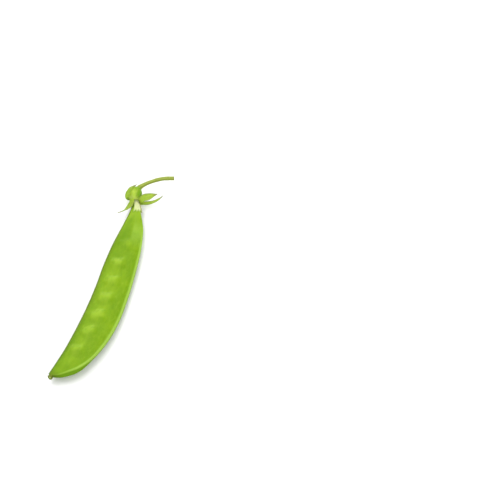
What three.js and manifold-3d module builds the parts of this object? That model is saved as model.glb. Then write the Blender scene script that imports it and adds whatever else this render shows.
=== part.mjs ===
// Snow pea pod with its calyx and cut stem, lying on the flat of its valves.
//
// Millimetres, +Z up. The origin is the flat rest spot under the middle pea. +X runs from the calyx to the
// beak and +Y to the arched seam, so the straight seam is on the -Y side.

import * as THREE from 'three';
import { mergeVertices } from 'three/addons/utils/BufferGeometryUtils.js';
import Module from 'manifold-3d';

const wasm = await Module();
wasm.setup();

const { lerp, smoothstep } = THREE.MathUtils;

// ---------------------------------------------------------------- driving dimensions

// Clearance kept between two pieces.
const GAP = 0.3;

// Both seams of the pod as x, y, z, from inside the calyx to the beak.
const STRAIGHT_SEAM = [
  [-57.3, -9.5, 4.6], [-53.9, -9.1, 4.0], [-49.6, -8.1, 3.5], [-40.2, -8.1, 2.8], [-28.4, -8.3, 2.4],
  [-16.4, -7.7, 2.3], [-4.4, -6.4, 2.3], [7.6, -5.7, 2.3], [19.6, -5.6, 2.4], [30.0, -5.9, 2.6],
  [38.2, -6.6, 3.0], [43.5, -6.8, 3.4],
];
const ARCHED_SEAM = [
  [-57.4, -7.5, 4.7], [-54.7, -7.1, 4.1], [-53.2, -6.5, 3.8], [-51.9, -4.9, 3.5], [-50.2, -3.7, 3.3],
  [-47.8, -2.4, 3.0], [-44.3, -0.5, 2.8], [-40.3, 1.5, 2.6], [-29.9, 4.9, 2.3], [-18.9, 7.15, 2.2],
  [-4.0, 9.4, 2.2], [9.0, 10.55, 2.4], [20.5, 10.0, 2.8], [30.5, 7.7, 3.4], [38.7, 4.3, 3.8],
  [43.4, -1.4, 3.95], [44.4, -5.1, 3.8],
];

// Half of the pod's thickness in the neck, the belly and the beak, and how blunt its edges are.
const HALF_THICKNESS = { neck: 1.1, belly: 2.15, beak: 1.1 };
const EDGE_BLUNTNESS = 0.8;

// The cord along each seam: how far it stands out. The arched seam is rolled up onto the upper valve, by an
// angle round the section on most of the pod and by a further one at the beak.
const SEAM_CORD = { arched: 0.42, straight: 0.25, spread: 0.2 };
const SEAM_ROLL = { whole: 0.3, beak: 0.6 };

// The stretches of the pod's length, from 0 at the neck to 1 at the beak, over which its section changes.
const NECK_WIDENS = [0, 0.3];
const CORDS_RISE = [0.06, 0.3];
const SEAM_ROLLS = [0.03, 0.15];
const BEAK_ROLLS = [0.8, 0.95];
const BEAK_THINS = [0.72, 1];

// The swellings over the peas: where each lies along the pod, and its height against the tallest.
const PEAS = [
  { x: -38.6, size: 0.25 }, { x: -29.4, size: 0.55 }, { x: -18.8, size: 1 }, { x: -9.0, size: 0.9 },
  { x: 0, size: 1 }, { x: 9.8, size: 1 }, { x: 18.6, size: 0.9 }, { x: 28.4, size: 0.9 },
  { x: 36.0, size: 0.35 },
];
// How far they lie from the straight seam to the arched one, as a share, and their form on both valves. An
// upper swelling is steep on the side of the neck, which is turned towards the straight seam.
const PEAS_ACROSS = 0.39;
const UPPER_PEA = { height: 0.95, turn: 0.42, steepSide: [-3.0, 0.3], longSide: [0.3, 5.6], spread: 3.1 };
const LOWER_PEA = { height: 0.6, spread: 3.1 };

// A shallow fold of the lower valve, which is the pod's third low point beside the peas.
const LOWER_FOLD = { x: 6, y: 4.6, height: 0.55, lengthwise: 11, crosswise: 3 };

// The calyx: a bell from the end of the stem to its open mouth, as distance from the stem and radius.
const CUP_ROOT = new THREE.Vector3(-60.0, -9.1, 5.5);
const CUP_MOUTH = new THREE.Vector3(-53.0, -8.3, 3.9);
const CUP_OUTSIDE = [
  [0, 0], [0.1, 1.1], [0.8, 2.1], [2.0, 2.75], [3.6, 2.9], [5.4, 2.8], [6.9, 2.85], [7.2, 2.95],
];
const CUP_INSIDE = [[7.2, 2.35], [5.4, 2.25], [3.4, 2.1], [2.3, 1.5], [2.1, 0]];
const CUP_SIDES = 30;

// The sepals, each a blade along its spine. side points across the blade, first at its root and then at its
// tip, wrap is the angle in radians that half of the blade's width curls through.
const SEPAL_THICKNESS = 0.6;
const SEPALS = [
  {
    spine: [[-54.8, -10.8, 4.0], [-53.7, -11.8, 4.5], [-55.0, -12.6, 4.9], [-56.6, -12.6, 5.4],
      [-58.3, -12.0, 6.0], [-59.7, -11.0, 6.5], [-61.4, -9.8, 6.9]],
    side: [[-0.1, 0.3, 0.9], [0.31, 0.9, -0.2]], width: 2.2, wrap: 0.4, peak: 0.3,
  },
  {
    spine: [[-54.8, -6.6, 5.6], [-53.9, -5.6, 5.8], [-55.0, -3.8, 6.0], [-56.4, -2.0, 6.2],
      [-57.6, -0.4, 6.6], [-58.7, 1.2, 7.2]],
    side: [[0.3, 0.6, -0.7], [0.77, 0.4, -0.45]], width: 3.4, wrap: 0.45, peak: 0.45,
  },
  {
    spine: [[-55.4, -6.2, 2.8], [-54.4, -5.3, 2.9], [-55.0, -3.1, 3.1], [-55.8, -0.9, 3.4],
      [-57.1, 1.4, 4.2], [-58.6, 3.0, 5.0], [-60.1, 4.1, 5.8]],
    side: [[0, -0.4, -0.9], [0.3, 0.1, -0.95]], width: 2.3, wrap: 0.5, peak: 0.3,
  },
  {
    spine: [[-54.8, -9.3, 6.2], [-52.8, -9.3, 6.2], [-50.9, -9.3, 5.6], [-48.6, -9.5, 4.8],
      [-46.5, -10.4, 4.3], [-44.1, -12.6, 4.3]],
    side: [[0, 0.9, 0.4], [0, 0.8, 0.6]], width: 2.6, wrap: 0.5, peak: 0.2,
  },
  {
    spine: [[-54.8, -8.4, 1.5], [-53.0, -7.9, 1.1], [-51.0, -6.6, 0.9], [-48.9, -4.9, 0.8],
      [-47.2, -3.1, 0.7]],
    side: [[0, -0.95, -0.2], [0.3, -0.9, 0]], width: 2.4, wrap: 0.3, peak: 0.3,
  },
];

// The stem: its centreline from the calyx to the cut, its radius at both ends and its ribs.
const STEM_SPINE = [
  [-59.3, -9.2, 5.3], [-60.3, -8.1, 5.5], [-62.2, -6.2, 6.2], [-64.3, -4.3, 6.9], [-65.9, -2.2, 7.4],
  [-67.2, 0.0, 7.8], [-68.3, 2.4, 8.0], [-69.6, 5.9, 8.0],
];
const STEM_RADIUS = { calyx: 0.8, cut: 0.98 };
const STEM_RIBS = { count: 6, depth: 0.07 };

// The withered sheath of stamens: the stretch of the neck that it covers, and the arc round the neck. Its
// hem ends further down the neck on the straight seam's side than on the arched seam's.
const SHEATH = { thickness: 0.6, start: 0.061, end: [0.092, 0.078], arc: [1.1, 3.1] };
// Its dry filaments: where each leaves the sheath round the neck, and where it ends along the pod.
const FILAMENTS = [{ angle: 3.05, end: 0.088 }, { angle: 2.75, end: 0.084 }];
const FILAMENT_RADIUS = 0.3;

// The withered stub of the style on the beak, from its foot to its broken end, as height and radius.
const STYLE_FOOT = new THREE.Vector3(44.55, -5.9, 3.6);
const STYLE_DIRECTION = new THREE.Vector3(0.92, -0.02, 0.4);
const STYLE_PROFILE = [[0, 0], [0, 0.5], [0.45, 0.72], [0.85, 0.84], [1.1, 0.8], [1.2, 0.6], [1.2, 0]];
const STYLE_SIDES = 12;

// ---------------------------------------------------------------- geometry helpers

const vector = ([x, y, z]) => new THREE.Vector3(x, y, z);
const lathe = (profile, sides) => new THREE.LatheGeometry(
  profile.map(([height, radius]) => new THREE.Vector2(radius, height)), sides);
const curve = (points) => new THREE.CatmullRomCurve3(points.map(vector));
const bell = (distance, spread) => Math.exp(-((distance / spread) ** 2));
const range = (count, value) => Array.from({ length: count }, (_, i) => value(i));
const ease = (along, [from, to]) => smoothstep(along, from, to);

// A closed body through loops of points. Every loop runs clockwise as seen from the last loop. Its first half
// is one face of the body and its second half comes back along the other, and both faces are split alike.
function skin(loops) {
  const count = loops[0].length;
  const index = [];
  for (let ring = 0; ring + 1 < loops.length; ring += 1) {
    for (let j = 0; j < count; j += 1) {
      const a = ring * count + j;
      const b = a + count;
      const d = ring * count + ((j + 1) % count);
      const c = d + count;
      if (j < count / 2) index.push(a, b, c, a, c, d);
      else index.push(a, b, d, b, c, d);
    }
  }
  const last = (loops.length - 1) * count;
  for (let j = 0; j + 1 < count / 2; j += 1) {
    const far = count - 1 - j;
    index.push(j, j + 1, far - 1, j, far - 1, far);
    index.push(last + j, last + far - 1, last + j + 1, last + j, last + far, last + far - 1);
  }
  const geometry = new THREE.BufferGeometry().setFromPoints(loops.flat());
  geometry.setIndex(index);
  geometry.computeVertexNormals();
  return geometry;
}

// Turns a lathed geometry from its own axis onto another, and moves its foot there.
function stand(geometry, foot, axis) {
  const turn = new THREE.Quaternion().setFromUnitVectors(new THREE.Vector3(0, 1, 0), axis);
  return geometry.applyQuaternion(turn).translate(foot.x, foot.y, foot.z);
}

function toSolid(geometry) {
  const bare = geometry.clone();
  bare.deleteAttribute('normal');
  bare.deleteAttribute('uv');
  const merged = mergeVertices(bare);
  return new wasm.Manifold(new wasm.Mesh({
    numProp: 3,
    vertProperties: new Float32Array(merged.attributes.position.array),
    triVerts: new Uint32Array(merged.index.array),
  }));
}

function toGeometry(solid) {
  const mesh = solid.getMesh();
  const geometry = new THREE.BufferGeometry();
  geometry.setAttribute('position', new THREE.BufferAttribute(mesh.vertProperties, 3));
  geometry.setIndex(new THREE.BufferAttribute(mesh.triVerts, 1));
  geometry.computeVertexNormals();
  return geometry;
}

function piece(name, geometry, colour, roughness) {
  const material = new THREE.MeshStandardMaterial({ color: colour, roughness, metalness: 0 });
  const mesh = new THREE.Mesh(geometry, material);
  mesh.name = name;
  return mesh;
}

// ---------------------------------------------------------------- pod

const straightSeam = curve(STRAIGHT_SEAM);
const archedSeam = curve(ARCHED_SEAM);

// The centre of each pea, on the line a set share of the way from the straight seam to the arched one.
const peaCentres = PEAS.map(({ x, size }) => {
  const along = (x - STRAIGHT_SEAM[0][0]) / (STRAIGHT_SEAM.at(-1)[0] - STRAIGHT_SEAM[0][0]);
  const row = straightSeam.getPointAt(along).lerp(archedSeam.getPointAt(along), PEAS_ACROSS);
  return { x, y: row.y, size };
});

// The height of an upper swelling: a smooth step up its steep side and down its long side, with a flat-topped
// bell across them.
function upperSwelling(x, y) {
  const { height, turn, steepSide, longSide, spread } = UPPER_PEA;
  const forward = x * Math.cos(turn) + y * Math.sin(turn);
  const across = y * Math.cos(turn) - x * Math.sin(turn);
  return height * ease(forward, steepSide) * (1 - ease(forward, longSide)) * bell(across ** 2, spread ** 2);
}

const lowerSwelling = (x, y) => LOWER_PEA.height * bell(Math.hypot(x, y), LOWER_PEA.spread);

function swelling(x, y, upper) {
  const form = upper ? upperSwelling : lowerSwelling;
  const peas = peaCentres.reduce((sum, pea) => sum + pea.size * form(x - pea.x, y - pea.y), 0);
  if (upper) return peas;
  const fold = bell(x - LOWER_FOLD.x, LOWER_FOLD.lengthwise) * bell(y - LOWER_FOLD.y, LOWER_FOLD.crosswise);
  return peas + LOWER_FOLD.height * fold;
}

// A point of the pod's skin. along runs from the neck, 0, to the beak, 1. angle runs round the section, from
// the straight seam, 0, over the upper valve to the arched seam, pi, and back under the lower valve. lift
// moves the point out from the skin, and scale shrinks the section towards its middle at the rounded ends.
function podPoint(along, angle, lift = 0, scale = 1) {
  const a = straightSeam.getPointAt(along);
  const b = archedSeam.getPointAt(along);
  const width = a.distanceTo(b);
  const chord = b.clone().sub(a).divideScalar(width);
  const up = new THREE.Vector3(0, 0, 1);
  up.addScaledVector(chord, -chord.z).normalize();

  const belly = lerp(HALF_THICKNESS.neck, HALF_THICKNESS.belly, ease(along, NECK_WIDENS));
  const half = lerp(belly, HALF_THICKNESS.beak, ease(along, BEAK_THINS));
  const arch = Math.abs(Math.sin(angle));
  const face = Math.sign(Math.sin(angle));

  // The cords stand out square to the section's edge.
  const fullness = ease(along, CORDS_RISE);
  const roll = SEAM_ROLL.whole * ease(along, SEAM_ROLLS) + SEAM_ROLL.beak * ease(along, BEAK_ROLLS);
  const toArched = Math.abs(angle - Math.PI + roll);
  const toStraight = Math.min(angle, 2 * Math.PI - angle);
  const cord = fullness * (SEAM_CORD.arched * bell(toArched, SEAM_CORD.spread)
    + SEAM_CORD.straight * bell(toStraight, SEAM_CORD.spread));
  const square = new THREE.Vector2(-Math.cos(angle) / width, Math.sin(angle) / (2 * half)).normalize();

  const across = -(width / 2 + lift) * Math.cos(angle) + cord * square.x;
  const point = a.addScaledVector(chord, width / 2 + across * scale);
  const bump = swelling(point.x, point.y, face > 0) * arch;
  const rise = face * ((half + lift) * arch ** EDGE_BLUNTNESS + bump) + cord * square.y;
  point.addScaledVector(up, rise * scale);
  point.z = Math.max(point.z, 0);
  return point;
}

function podGeometry() {
  const sides = 36;
  const rings = 88;
  // The rounded ends, as shares of the pod's length, and the sizes of the sections that round them.
  const endLength = { neck: 0.006, beak: 0.009 };
  const capSteps = [0.3, 0.62, 0.85, 0.97];
  // The angles crowd towards both seams, where the cords are.
  const crowding = 0.25;
  const angles = range(sides, (j) => {
    const even = ((j + 0.5) / sides) * 2 * Math.PI;
    return even - crowding * Math.sin(2 * even);
  });
  const cap = (size, end) => ({ scale: size, along: end * (1 - Math.sqrt(1 - size * size)) });
  const stations = [
    ...capSteps.map((size) => cap(size, endLength.neck)),
    ...range(rings, (i) => ({ scale: 1, along: lerp(endLength.neck, 1 - endLength.beak, i / (rings - 1)) })),
    ...capSteps.toReversed().map((size) => {
      const { scale, along } = cap(size, endLength.beak);
      return { scale, along: 1 - along };
    }),
  ];
  return skin(stations.map(({ scale, along }) => angles.map((angle) => podPoint(along, angle, 0, scale))));
}

// ---------------------------------------------------------------- calyx

function cupGeometry() {
  const axis = CUP_MOUTH.clone().sub(CUP_ROOT).normalize();
  return stand(lathe([...CUP_OUTSIDE, ...CUP_INSIDE], CUP_SIDES), CUP_ROOT, axis);
}

// How wide a sepal is against its full width: narrower at the root, full at its peak and narrow at the tip.
function sepalWidth(along, peak) {
  const rootWidth = 0.8;
  const tipWidth = 0.18;
  const taper = Math.max(0, (along - peak) / (1 - peak));
  return lerp(rootWidth, 1, smoothstep(along, 0, peak)) * lerp(1, tipWidth, taper ** 1.5);
}

function sepalGeometry({ spine, side, width, wrap, peak }) {
  const steps = 14;
  const halfSteps = 3;
  const line = curve(spine);
  const loops = range(steps + 1, (i) => {
    const along = i / steps;
    const centre = line.getPointAt(along);
    const forward = line.getTangentAt(along);
    const across = vector(side[0]).lerp(vector(side[1]), along);
    across.addScaledVector(forward, -across.dot(forward)).normalize();
    const outward = forward.clone().cross(across);
    const radius = (width * sepalWidth(along, peak)) / 2 / wrap;
    const edge = (step, lift) => {
      const angle = (step / halfSteps) * wrap;
      return centre.clone()
        .addScaledVector(across, (radius + lift) * Math.sin(angle))
        .addScaledVector(outward, (radius + lift) * Math.cos(angle) - radius);
    };
    const face = (lift) => range(2 * halfSteps + 1, (j) => edge(j - halfSteps, lift));
    return [...face(SEPAL_THICKNESS / 2), ...face(-SEPAL_THICKNESS / 2).toReversed()];
  });
  return skin(loops);
}

// ---------------------------------------------------------------- stem

// The stem's skin, grown by lift and starting earlier by the same length.
function stemGeometry(lift = 0) {
  const steps = 22;
  const sides = 2 * STEM_RIBS.count;
  const line = curve(STEM_SPINE);
  const { normals, binormals } = line.computeFrenetFrames(steps, false);
  const loops = range(steps + 1, (i) => {
    const along = i / steps;
    const centre = line.getPointAt(along);
    if (i === 0) centre.addScaledVector(line.getTangentAt(0), -lift);
    const radius = lerp(STEM_RADIUS.calyx, STEM_RADIUS.cut, along) + lift;
    return range(sides, (j) => {
      const angle = (-j / sides) * 2 * Math.PI;
      const rib = 1 + STEM_RIBS.depth * Math.cos(STEM_RIBS.count * angle);
      return centre.clone()
        .addScaledVector(normals[i], radius * rib * Math.cos(angle))
        .addScaledVector(binormals[i], radius * rib * Math.sin(angle));
    });
  });
  return skin(loops);
}

function calyxGeometry() {
  const sepals = SEPALS.map((sepal) => toSolid(sepalGeometry(sepal)));
  const whole = sepals.reduce((sum, sepal) => sum.add(sepal), toSolid(cupGeometry()));
  return toGeometry(whole.subtract(toSolid(stemGeometry(GAP))));
}

// ---------------------------------------------------------------- withered flower parts

function stamensGeometry() {
  const steps = 6;
  const arcSteps = 9;
  const inner = 1.1 * GAP;
  const outer = inner + SHEATH.thickness;
  const arcAngle = (j) => lerp(SHEATH.arc[0], SHEATH.arc[1], j / arcSteps);
  // The lower hem is torn.
  const tear = 0.003;
  const hem = (j) => lerp(...SHEATH.end, j / arcSteps) + tear * Math.sin(2.6 * j);
  const loops = range(steps + 1, (i) => {
    const face = (lift) => range(arcSteps + 1,
      (j) => podPoint(lerp(SHEATH.start, hem(j), i / steps), arcAngle(j), lift));
    return [...face(outer), ...face(inner).toReversed()];
  });
  // Each filament starts inside the sheath and lifts off the pod towards its end.
  const start = lerp(SHEATH.start, SHEATH.end[1], 0.5);
  const middle = (inner + outer) / 2;
  const flare = 0.25;
  const filaments = FILAMENTS.map(({ angle, end }) => {
    const line = new THREE.CatmullRomCurve3(range(5, (i) => {
      const along = i / 4;
      return podPoint(lerp(start, end, along), angle, middle + flare * along * along);
    }));
    const section = new THREE.Shape();
    section.absarc(0, 0, FILAMENT_RADIUS, 0, 2 * Math.PI);
    return toSolid(new THREE.ExtrudeGeometry(section, { curveSegments: 3, steps: 8, extrudePath: line }));
  });
  return toGeometry(filaments.reduce((sum, filament) => sum.add(filament), toSolid(skin(loops))));
}

function styleGeometry() {
  return stand(lathe(STYLE_PROFILE, STYLE_SIDES), STYLE_FOOT, STYLE_DIRECTION.clone().normalize());
}

// ---------------------------------------------------------------- assembly

const snowPea = new THREE.Group();
snowPea.add(
  piece('pod', podGeometry(), '#8fbf2c', 0.45),
  piece('calyx', calyxGeometry(), '#a3bd45', 0.6),
  piece('stem', stemGeometry(), '#9aa83f', 0.6),
  piece('stamens', stamensGeometry(), '#ecefb4', 0.8),
  piece('style', styleGeometry(), '#8a7a45', 0.85),
);

export default snowPea;
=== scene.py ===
"""Finished snow pea pod: its skin, calyx, stem and withered flower parts, in a plain studio.

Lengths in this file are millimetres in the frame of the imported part: +X runs from the calyx to the beak,
+Y to the arched seam and +Z up. They become metres where a mesh is made.
"""

import logging
import math
from dataclasses import dataclass
from enum import Enum

import bpy
import numpy as np
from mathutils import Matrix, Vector


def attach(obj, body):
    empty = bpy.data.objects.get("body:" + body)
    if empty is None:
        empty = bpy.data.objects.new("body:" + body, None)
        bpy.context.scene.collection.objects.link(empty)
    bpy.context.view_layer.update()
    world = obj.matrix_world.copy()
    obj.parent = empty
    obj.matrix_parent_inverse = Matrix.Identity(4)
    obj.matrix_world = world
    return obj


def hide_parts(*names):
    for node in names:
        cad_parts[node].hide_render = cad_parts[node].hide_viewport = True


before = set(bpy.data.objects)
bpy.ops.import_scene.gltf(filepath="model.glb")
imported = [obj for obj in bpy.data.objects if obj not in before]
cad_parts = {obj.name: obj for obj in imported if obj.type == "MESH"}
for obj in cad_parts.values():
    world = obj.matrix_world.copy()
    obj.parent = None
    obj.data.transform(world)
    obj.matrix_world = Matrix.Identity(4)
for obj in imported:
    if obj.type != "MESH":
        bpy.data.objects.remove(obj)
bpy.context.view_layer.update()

Array = np.ndarray
Point = tuple[float, float, float]
Colour = tuple[float, float, float]

MILLIMETRE = 0.001
FULL_TURN = 2 * math.pi
UPWARDS = np.array([0.0, 0.0, 1.0])

log = logging.getLogger("snow_pea")


# ---------------------------------------------------------------------- number helpers


def mix(a: Array | float, b: Array | float, share: Array | float) -> Array | float:
    """Value that lies the given share of the way from a to b."""
    return a + (b - a) * share


def ease(value: Array | float, start: float, end: float) -> Array | float:
    """Smooth step from 0 at start to 1 at end: 3t² - 2t³ of the clamped share t."""
    share = np.clip((value - start) / (end - start), 0, 1)
    return share * share * (3 - 2 * share)


def bell(distance: Array | float, spread: float) -> Array | float:
    """Bell curve exp(-(distance / spread)²), 1 at its middle."""
    return np.exp(-((distance / spread) ** 2))


def unit(vectors: Array) -> Array:
    """Vectors of length 1 that point the same way."""
    return vectors / np.linalg.norm(vectors, axis=-1, keepdims=True)


def squared(vectors: Array, axis: Array) -> Array:
    """Unit vectors closest to the given ones that stand square to the unit vectors in axis."""
    return unit(vectors - axis * np.sum(vectors * axis, axis=-1, keepdims=True))


def round_steps(count: int) -> Array:
    """Angles of even steps round a full turn."""
    return np.linspace(0, FULL_TURN, count, endpoint=False)


def spokes(turn: Array, side: Array, up: Array) -> Array:
    """Unit vectors at the angles of turn, from side towards up, which stand square to each other."""
    return np.cos(turn)[..., None] * side + np.sin(turn)[..., None] * up


@dataclass(frozen=True)
class Ripple:
    """Smooth irregular ripple over space.

    Its height is the sum of sine waves in seeded directions, whose wavelengths vary about their mean, over
    the square root of their number.

    Attributes:
        height: About how far it rises and falls.
        length: Mean wavelength.
        seed: Seed of the directions, wavelengths and phases.
        sines: Number of sine waves.
        spread: Least and greatest number of waves in the mean wavelength.
    """

    height: float
    length: float
    seed: int
    sines: int = 7
    spread: tuple[float, float] = (0.6, 1.5)

    def at(self, place: Array) -> Array:
        """Works out the ripple at points.

        Args:
            place: Points, whose last axis is x, y, z.

        Returns:
            One height for each point.
        """
        rng = np.random.default_rng(self.seed)
        waves = unit(rng.normal(size=(self.sines, 3))) * (FULL_TURN / self.length)
        waves = waves * rng.uniform(*self.spread, (self.sines, 1))
        phases = rng.uniform(0, FULL_TURN, self.sines)
        return self.height * (np.sin(place @ waves.T + phases).sum(axis=-1) / self.sines**0.5)


# ---------------------------------------------------------------------- curves and skins


@dataclass(frozen=True)
class Curve:
    """Smooth line through points, walked by its length.

    Between two points it is a cubic whose end slopes weigh the neighbouring points by the square root of
    their distances, which is a centripetal Catmull-Rom line. Past each end the next point is mirrored.

    Attributes:
        points: The points in order.
    """

    points: tuple[Point, ...]

    def _spans(self, share: Array) -> Array:
        """Points at shares of the line that count every span between two points alike.

        Args:
            share: Shares from 0 at the first point to 1 at the last.

        Returns:
            Array of share's shape with a last axis of x, y, z.
        """
        given = np.asarray(self.points, float)
        given = np.vstack([2 * given[0] - given[1], given, 2 * given[-1] - given[-2]])
        place = np.clip(share, 0, 1) * (len(self.points) - 1)
        first = np.minimum(place.astype(int), len(self.points) - 2)
        t = (place - first)[..., None]
        p0, p1, p2, p3 = (given[first + k] for k in range(4))
        pairs = (p0, p1), (p1, p2), (p2, p3)
        d0, d1, d2 = (np.linalg.norm(q - p, axis=-1, keepdims=True) ** 0.5 for p, q in pairs)
        slope_1 = ((p1 - p0) / d0 - (p2 - p0) / (d0 + d1) + (p2 - p1) / d1) * d1
        slope_2 = ((p2 - p1) / d1 - (p3 - p1) / (d1 + d2) + (p3 - p2) / d2) * d1
        square = 3 * (p2 - p1) - 2 * slope_1 - slope_2
        cube = 2 * (p1 - p2) + slope_1 + slope_2
        return p1 + slope_1 * t + square * t**2 + cube * t**3

    def _walk(self, count: int = 200) -> tuple[Array, Array]:
        """Walks the line in short steps.

        Args:
            count: Number of steps.

        Returns:
            Shares that count every span alike, and the length walked up to each.
        """
        share = np.linspace(0, 1, count + 1)
        steps = np.linalg.norm(np.diff(self._spans(share), axis=0), axis=1)
        return share, np.concatenate([[0], np.cumsum(steps)])

    def at(self, along: Array) -> Array:
        """Points at shares of the line's length.

        Args:
            along: Shares from 0 at the first point to 1 at the last.

        Returns:
            Array of along's shape with a last axis of x, y, z.
        """
        share, walked = self._walk()
        return self._spans(np.interp(np.asarray(along) * walked[-1], walked, share))

    def share_at(self, number: int) -> float:
        """Share of the line's length at one of its points, by the point's number."""
        share, walked = self._walk()
        return float(np.interp(number / (len(self.points) - 1), share, walked) / walked[-1])

    def heading(self, along: Array, step: float = 1e-3) -> Array:
        """Directions of the line.

        Args:
            along: Shares of the line's length.
            step: How far before and behind each share the direction is taken.

        Returns:
            Unit vectors, as an array of along's shape with a last axis of x, y, z.
        """
        ahead = np.clip(np.asarray(along) + step, 0, 1)
        behind = np.clip(np.asarray(along) - step, 0, 1)
        return unit(self.at(ahead) - self.at(behind))


@dataclass
class Skin:
    """Closed mesh with marks, which are numbers that its finish reads at each point.

    Attributes:
        points: Array of x, y, z in millimetres.
        faces: Lists of point numbers, counter-clockwise as seen from outside.
        marks: One array of numbers for each mark's name.
    """

    points: Array
    faces: list[list[int]]
    marks: dict[str, Array]

    @classmethod
    def _outwards(cls, points: Array, blocks: list[Array], marks: dict[str, Array]) -> "Skin":
        """Skin whose faces are turned round if they enclose a negative volume.

        The volume is a sixth of the sum of a · (b × c) over the triangles of every face.

        Args:
            points: Array of x, y, z in millimetres.
            blocks: Arrays of faces, each with one number of corners, which all turn the same way.
            marks: One array of numbers for each mark's name.

        Returns:
            The skin.
        """
        fans = [block[:, [0, k, k + 1]] for block in blocks for k in range(1, block.shape[1] - 1)]
        a, b, c = (points[corner] for corner in np.vstack(fans).T)
        if np.einsum("ij,ij->", a, np.cross(b, c)) < 0:
            blocks = [block[:, ::-1] for block in blocks]
        return cls(points, [face for block in blocks for face in block.tolist()], marks)

    @staticmethod
    def _bands(corner: Array) -> Array:
        """Quads between neighbouring rings of point numbers, where each ring closes on itself."""
        beside = np.roll(corner, -1, axis=1)
        return np.stack([corner[:-1], beside[:-1], beside[1:], corner[1:]], axis=-1).reshape(-1, 4)

    @classmethod
    def over(cls, rings: Array, marks: dict[str, Array]) -> "Skin":
        """Closed skin over rings of points, with a pole in the middle of the first and of the last ring.

        Args:
            rings: Array of rings by points by x, y, z.
            marks: Arrays of rings by points, or of a shape that spreads to that.

        Returns:
            The skin, with its faces outwards.
        """
        rows, count, _ = rings.shape
        corner = np.arange(rows * count).reshape(rows, count)
        beside = np.roll(corner, -1, axis=1)
        pole = np.full(count, rows * count)
        first = np.stack([beside[0], corner[0], pole], axis=-1)
        last = np.stack([corner[-1], beside[-1], pole + 1], axis=-1)
        points = np.vstack([rings.reshape(-1, 3), rings[0].mean(axis=0), rings[-1].mean(axis=0)])
        spread = {name: np.broadcast_to(mark, (rows, count)) for name, mark in marks.items()}
        ended = {
            name: np.concatenate([mark.ravel(), [mark[0].mean(), mark[-1].mean()]])
            for name, mark in spread.items()
        }
        return cls._outwards(points, [cls._bands(corner), first, last], ended)

    @classmethod
    def sheet(cls, front: Array, rear: Array, marks: dict[str, Array]) -> "Skin":
        """Closed skin of a thin sheet, with quads from its front to its rear along every margin.

        Args:
            front: Array of rows by points by x, y, z.
            rear: The points behind those of the front.
            marks: Arrays of rows by points, which hold for both sides.

        Returns:
            The skin, with its faces outwards.
        """
        rows, count, _ = front.shape
        corner = np.arange(rows * 2 * count).reshape(rows, 2 * count)
        ahead, behind = corner[:, :count], corner[:, count:][:, ::-1]
        first = np.stack([ahead[0, 1:], ahead[0, :-1], behind[0, :-1], behind[0, 1:]], axis=-1)
        last = np.stack([ahead[-1, :-1], ahead[-1, 1:], behind[-1, 1:], behind[-1, :-1]], axis=-1)
        points = np.concatenate([front, rear[:, ::-1]], axis=1).reshape(-1, 3)
        twice = {name: np.concatenate([m, m[:, ::-1]], axis=1).ravel() for name, m in marks.items()}
        return cls._outwards(points, [cls._bands(corner), first, last], twice)

    def joined(self, other: "Skin") -> "Skin":
        """This skin and another with the same marks as one mesh."""
        shift = len(self.points)
        return Skin(
            np.vstack([self.points, other.points]),
            self.faces + [[shift + corner for corner in face] for face in other.faces],
            {name: np.concatenate([mark, other.marks[name]]) for name, mark in self.marks.items()},
        )

    def piece(self, name: str, node: str, material: bpy.types.Material) -> bpy.types.Object:
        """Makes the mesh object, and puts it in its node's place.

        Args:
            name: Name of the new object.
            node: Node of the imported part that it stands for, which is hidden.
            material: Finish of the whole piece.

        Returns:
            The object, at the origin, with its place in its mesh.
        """
        mesh = bpy.data.meshes.new(name)
        mesh.from_pydata((self.points * MILLIMETRE).tolist(), [], self.faces)
        mesh.polygons.foreach_set("use_smooth", np.ones(len(mesh.polygons), dtype=bool))
        for mark, values in self.marks.items():
            attribute = mesh.attributes.new(mark, "FLOAT", "POINT")
            attribute.data.foreach_set("value", np.asarray(values, dtype=np.float32))
        mesh.materials.append(material)
        made = bpy.data.objects.new(name, mesh)
        bpy.context.scene.collection.objects.link(made)
        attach(made, "root")
        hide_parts(node)
        log.info("%s: %d points, %d faces", name, len(self.points), len(self.faces))
        return made


# ---------------------------------------------------------------------- finishes


class Blend(Enum):
    """How a colour is laid over another."""

    COVER = "MIX"
    DARKEN = "MULTIPLY"


class Wire:
    """Socket that a node gives. Arithmetic on it adds Math nodes to its material."""

    def __init__(self, recipe: "Recipe", socket: bpy.types.NodeSocket) -> None:
        """Wraps a socket of a recipe's node."""
        self.recipe = recipe
        self.socket = socket

    def _math(self, operation: str, *values: "Wire | float") -> "Wire":
        """Result of one Math node."""
        return self.recipe.node("ShaderNodeMath", {"operation": operation}, dict(enumerate(values)))

    def __add__(self, other: "Wire | float") -> "Wire":
        """Sum."""
        return self._math("ADD", self, other)

    def __radd__(self, other: float) -> "Wire":
        """Sum with a number in front."""
        return self._math("ADD", other, self)

    def __sub__(self, other: "Wire | float") -> "Wire":
        """Difference."""
        return self._math("SUBTRACT", self, other)

    def __rsub__(self, other: float) -> "Wire":
        """Difference from a number in front."""
        return self._math("SUBTRACT", other, self)

    def __mul__(self, other: "Wire | float") -> "Wire":
        """Product."""
        return self._math("MULTIPLY", self, other)

    def rising(self, start: float, end: float) -> "Wire":
        """Smooth step of this value, from 0 at start to 1 at end."""
        settings = {"interpolation_type": "SMOOTHSTEP"}
        sockets = {"Value": self, "From Min": start, "From Max": end}
        return self.recipe.node("ShaderNodeMapRange", settings, sockets)

    def between(self, start: float, full: float, fading: float, end: float) -> "Wire":
        """1 from full to fading, with smooth steps to 0 at start and at end."""
        return self.rising(start, full) * self.rising(end, fading)


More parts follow.
